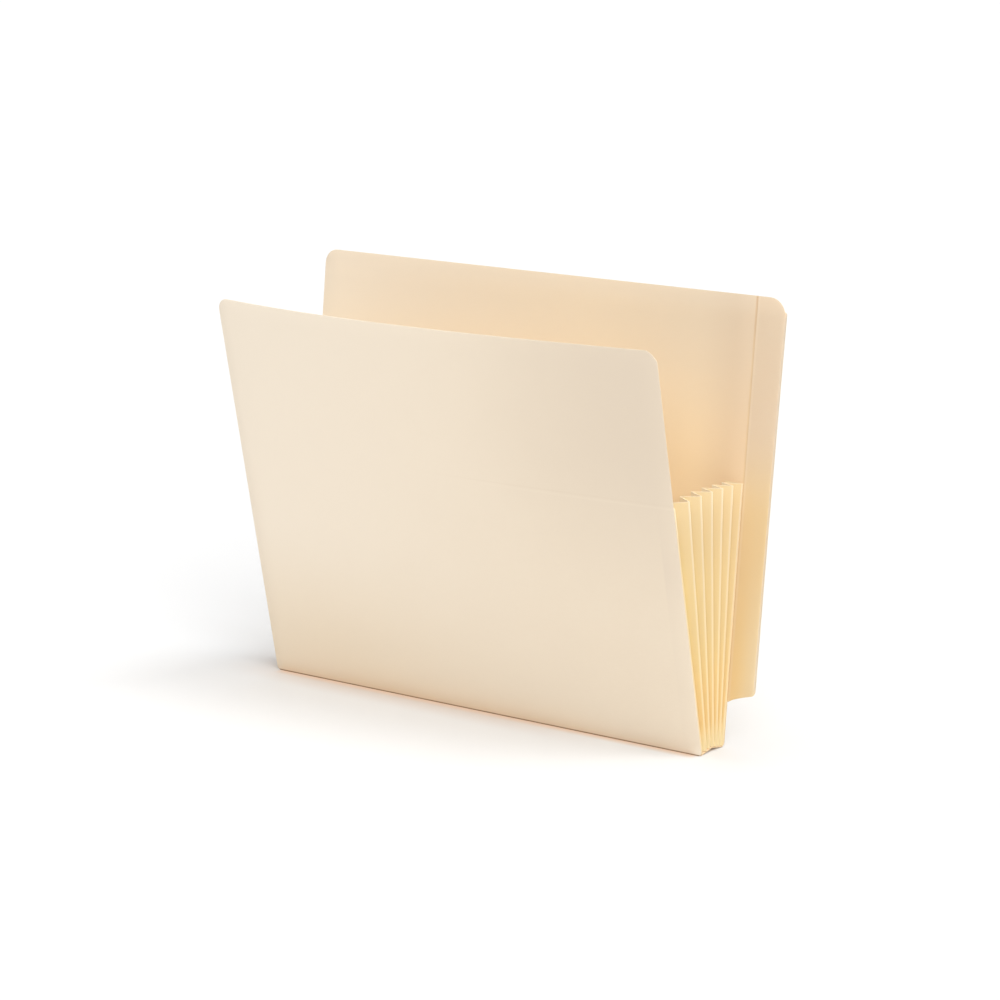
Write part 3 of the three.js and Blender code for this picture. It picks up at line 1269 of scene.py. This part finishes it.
    def build(self, rim: PaperFinish) -> list[bpy.types.Object]:
        """Make the twelve pleats.

        Args:
            rim: The finish of the cut edges.

        Returns:
            The pleats, from the back cover to the front one.
        """
        stance = self.stance
        pieces = []
        for pleat in range(1, stance.pleat_count + 1):
            feet = [float(stance.base_height(stance.crease_foot(crease))) for crease in (pleat - 1, pleat)]
            foot = feet[0] + stance.cover_stock / 2 + self.foot_lift
            name = f"{self.side.value}_gusset_pleat_{pleat}"
            blank = Blank(name, 0, stance.pleat_width, foot, stance.gusset_height)
            blank.shift_corner(Corner.FOOT_RIGHT, feet[1] - feet[0])
            blank.grid(columns=6, rows=14).lay(self._surface(pleat))
            blank.thicken(stance.gusset_stock, stance.cut_arris)
            paper = blank.dress(self.finish(faces_back=pleat % 2 == 0), rim)
            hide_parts(f"{self.side.value}_pleat_{pleat}")
            self._bend_with_fold(paper, pleat)
            pieces.append(paper)
        return pieces


# Camera and studio


@dataclass(frozen=True)
class Viewpoint:
    """Where the pocket is seen from, in metres and radians.

    Attributes:
        lens: The lens and the sensor are in millimetres.
        aim: The point that the camera turns about, from the pocket's plain lower front corner.
        slide: How far the camera then moves to the right and up.
    """

    stance: Stance
    lens: float = 120.26
    sensor: float = 36.0
    nearest: float = 10.0 * MM
    distance: float = 1.825388
    yaw: float = math.radians(36.52)
    pitch: float = math.radians(12.506)
    aim: Point = (146.05 * MM, 0.0, 110.0 * MM)
    slide: tuple[float, float] = (10.979 * MM, 9.337 * MM)

    def build(self) -> bpy.types.Object:
        """Add the camera and make it the scene's own.

        Returns:
            The camera.
        """
        level = math.cos(self.pitch)
        forward = Vector((-math.sin(self.yaw) * level, math.cos(self.yaw) * level, -math.sin(self.pitch)))
        right = Vector((math.cos(self.yaw), math.sin(self.yaw), 0))
        up = right.cross(forward)
        target = Vector(self.aim) + Vector(self.stance.corner)
        target += right * self.slide[0] + up * self.slide[1]
        turn = Matrix((right, up, -forward)).transposed().to_4x4()
        bpy.ops.object.camera_add(location=(0, 0, 0))
        camera = bpy.context.active_object
        camera.name = "viewpoint"
        camera.matrix_world = Matrix.Translation(target - forward * self.distance) @ turn
        camera.data.lens = self.lens
        camera.data.sensor_width = self.sensor
        camera.data.clip_start = self.nearest
        camera.data.dof.use_dof = False
        bpy.context.scene.camera = camera
        return camera


@dataclass(frozen=True)
class SoftLight:
    """A broad soft lamp, so far off that it is equally strong all over the floor.

    Attributes:
        name: The lamp's name.
        toward: The direction from the pocket to the lamp.
        spread: How wide the lamp looks from the pocket, in radians.
        level: How bright it makes a white surface that faces it.
        color: Its colour.
    """

    name: str
    toward: Point
    spread: float
    level: float
    color: Color = (1.0, 1.0, 1.0)

    def build(self) -> bpy.types.Object:
        """Add the lamp, facing the pocket.

        Returns:
            The lamp.
        """
        bpy.ops.object.light_add(type="SUN", location=self.toward)
        lamp = bpy.context.active_object
        lamp.name = self.name
        lamp.data.energy = self.level * math.pi
        lamp.data.angle = self.spread
        lamp.data.color = self.color
        lamp.rotation_euler = Vector(self.toward).to_track_quat("Z", "Y").to_euler()
        return lamp


@dataclass(frozen=True)
class FloorTint:
    """A soft patch of painted warm reflection and painted shade on the floor, by the pocket's lower front corner.

    Attributes:
        color: The floor's colour there.
        across: Its middle, half width and soft rim along the pocket, in metres.
        deep: The same across the pocket.
    """

    color: Color
    across: Point
    deep: Point


@dataclass
class Studio:
    """A white floor that runs into white light, and soft lamps.

    Attributes:
        seen_glow: How much the camera sees the floor glow, on top of the light on it.
        sky: The strength of the even light from all round.
    """

    stance: Stance
    floor_size: float = 24.0
    floor_color: Color = (0.80, 0.80, 0.80)
    # Painted warm reflection and painted shade on the floor by the pocket's foot.
    tints: tuple[FloorTint, ...] = (
        FloorTint((0.72, 0.64, 0.59), (100.0 * MM, 150.0 * MM, 100.0 * MM), (11.0 * MM, 37.0 * MM, 26.0 * MM)),
        FloorTint((0.79, 0.60, 0.46), (146.0 * MM, 146.0 * MM, 6.0 * MM), (11.0 * MM, 19.0 * MM, 8.0 * MM)),
    )
    seen_glow: float = 0.04
    sky: float = 0.20
    lamps: tuple[SoftLight, ...] = (
        SoftLight("key_light", (0.52, 0.12, 1.0), math.radians(24), 0.29),
        SoftLight("top_light", (0.0, 0.08, 1.0), math.radians(56), 0.41),
        SoftLight("side_light", (0.67, -0.60, 0.60), math.radians(50), 0.64),
        SoftLight("edge_light", (-0.93, -0.28, 0.17), math.radians(50), 0.20),
    )

    def _floor_tone(self, tree: Tree) -> Socket:
        """The floor's white, with painted warm reflection and painted shade in it where the pocket stands.

        Args:
            tree: The floor's nodes.

        Returns:
            The colour.
        """
        places = tree.nodes.new("ShaderNodeSeparateXYZ")
        connect(tree, tree.nodes.new("ShaderNodeTexCoord").outputs["Object"], places.inputs["Vector"])
        color = self.floor_color
        for tint in self.tints:
            masks = (
                PaperNodes().mask(tree, places.outputs[axis], self.stance.corner[axis] + middle, half_width, rim)
                for axis, (middle, half_width, rim) in enumerate((tint.across, tint.deep))
            )
            color = mix_colors(tree, calculate(tree, "MULTIPLY", *masks), color, tint.color)
        return color

    def _floor_material(self) -> bpy.types.Material:
        """Pale floor that the camera sees as just white, apart from the shadows on it.

        Returns:
            The material.
        """
        material = bpy.data.materials.new("studio_floor")
        material.use_nodes = True
        tree = material.node_tree
        tree.nodes.clear()
        leave = tree.nodes.new("ShaderNodeOutputMaterial")
        matt = tree.nodes.new("ShaderNodeBsdfDiffuse")
        connect(tree, self._floor_tone(tree), matt.inputs["Color"])
        seen = tree.nodes.new("ShaderNodeLightPath").outputs["Is Camera Ray"]
        glow = tree.nodes.new("ShaderNodeEmission")
        connect(tree, calculate(tree, "MULTIPLY", seen, self.seen_glow), glow.inputs["Strength"])
        both = tree.nodes.new("ShaderNodeAddShader")
        connect(tree, matt.outputs[0], both.inputs[0])
        connect(tree, glow.outputs[0], both.inputs[1])
        connect(tree, both.outputs[0], leave.inputs["Surface"])
        return material

    def _world(self) -> None:
        """Even white light from all round, and plain white where the background itself is seen."""
        world = bpy.data.worlds.new("studio_light")
        bpy.context.scene.world = world
        world.use_nodes = True
        tree = world.node_tree
        background = tree.nodes["Background"]
        connect(tree, (1.0, 1.0, 1.0), background.inputs["Color"])
        path = tree.nodes.new("ShaderNodeLightPath").outputs
        seen = path["Is Camera Ray"]
        for kind in ("Is Glossy Ray", "Is Transmission Ray"):
            seen = calculate(tree, "MAXIMUM", seen, path[kind])
        strength = tree.nodes.new("ShaderNodeMapRange")
        strength.inputs["To Min"].default_value = self.sky
        strength.inputs["To Max"].default_value = 1
        connect(tree, seen, strength.inputs["Value"])
        connect(tree, strength.outputs["Result"], background.inputs["Strength"])

    def build(self) -> None:
        """Lay the floor, set the light round it and add the lamps."""
        bpy.ops.object.select_all(action="DESELECT")
        bpy.ops.mesh.primitive_plane_add(size=self.floor_size, location=(0, 0, 0))
        floor = bpy.context.active_object
        floor.name = "studio_floor"
        floor.data.materials.append(self._floor_material())
        self._world()
        for lamp in self.lamps:
            lamp.build()
        bpy.context.scene.view_settings.view_transform = "Standard"


def main() -> None:
    """Build the pocket and its studio, and report each piece."""
    stance = Stance()
    Viewpoint(stance).build()
    covers = Covers(stance)
    rim = covers.rim()
    pieces = covers.build_back() + EndTab(stance).build()
    pieces += Base(stance).build(covers.back_finish(), rim)
    for side in Side:
        pieces += Gusset(stance, side).build(rim)
    pieces += covers.build_front()
    for piece in pieces:
        log.info("%s: %d faces", piece.name, len(piece.data.polygons))
    Studio(stance).build()


if __name__ == "__main__":
    main()
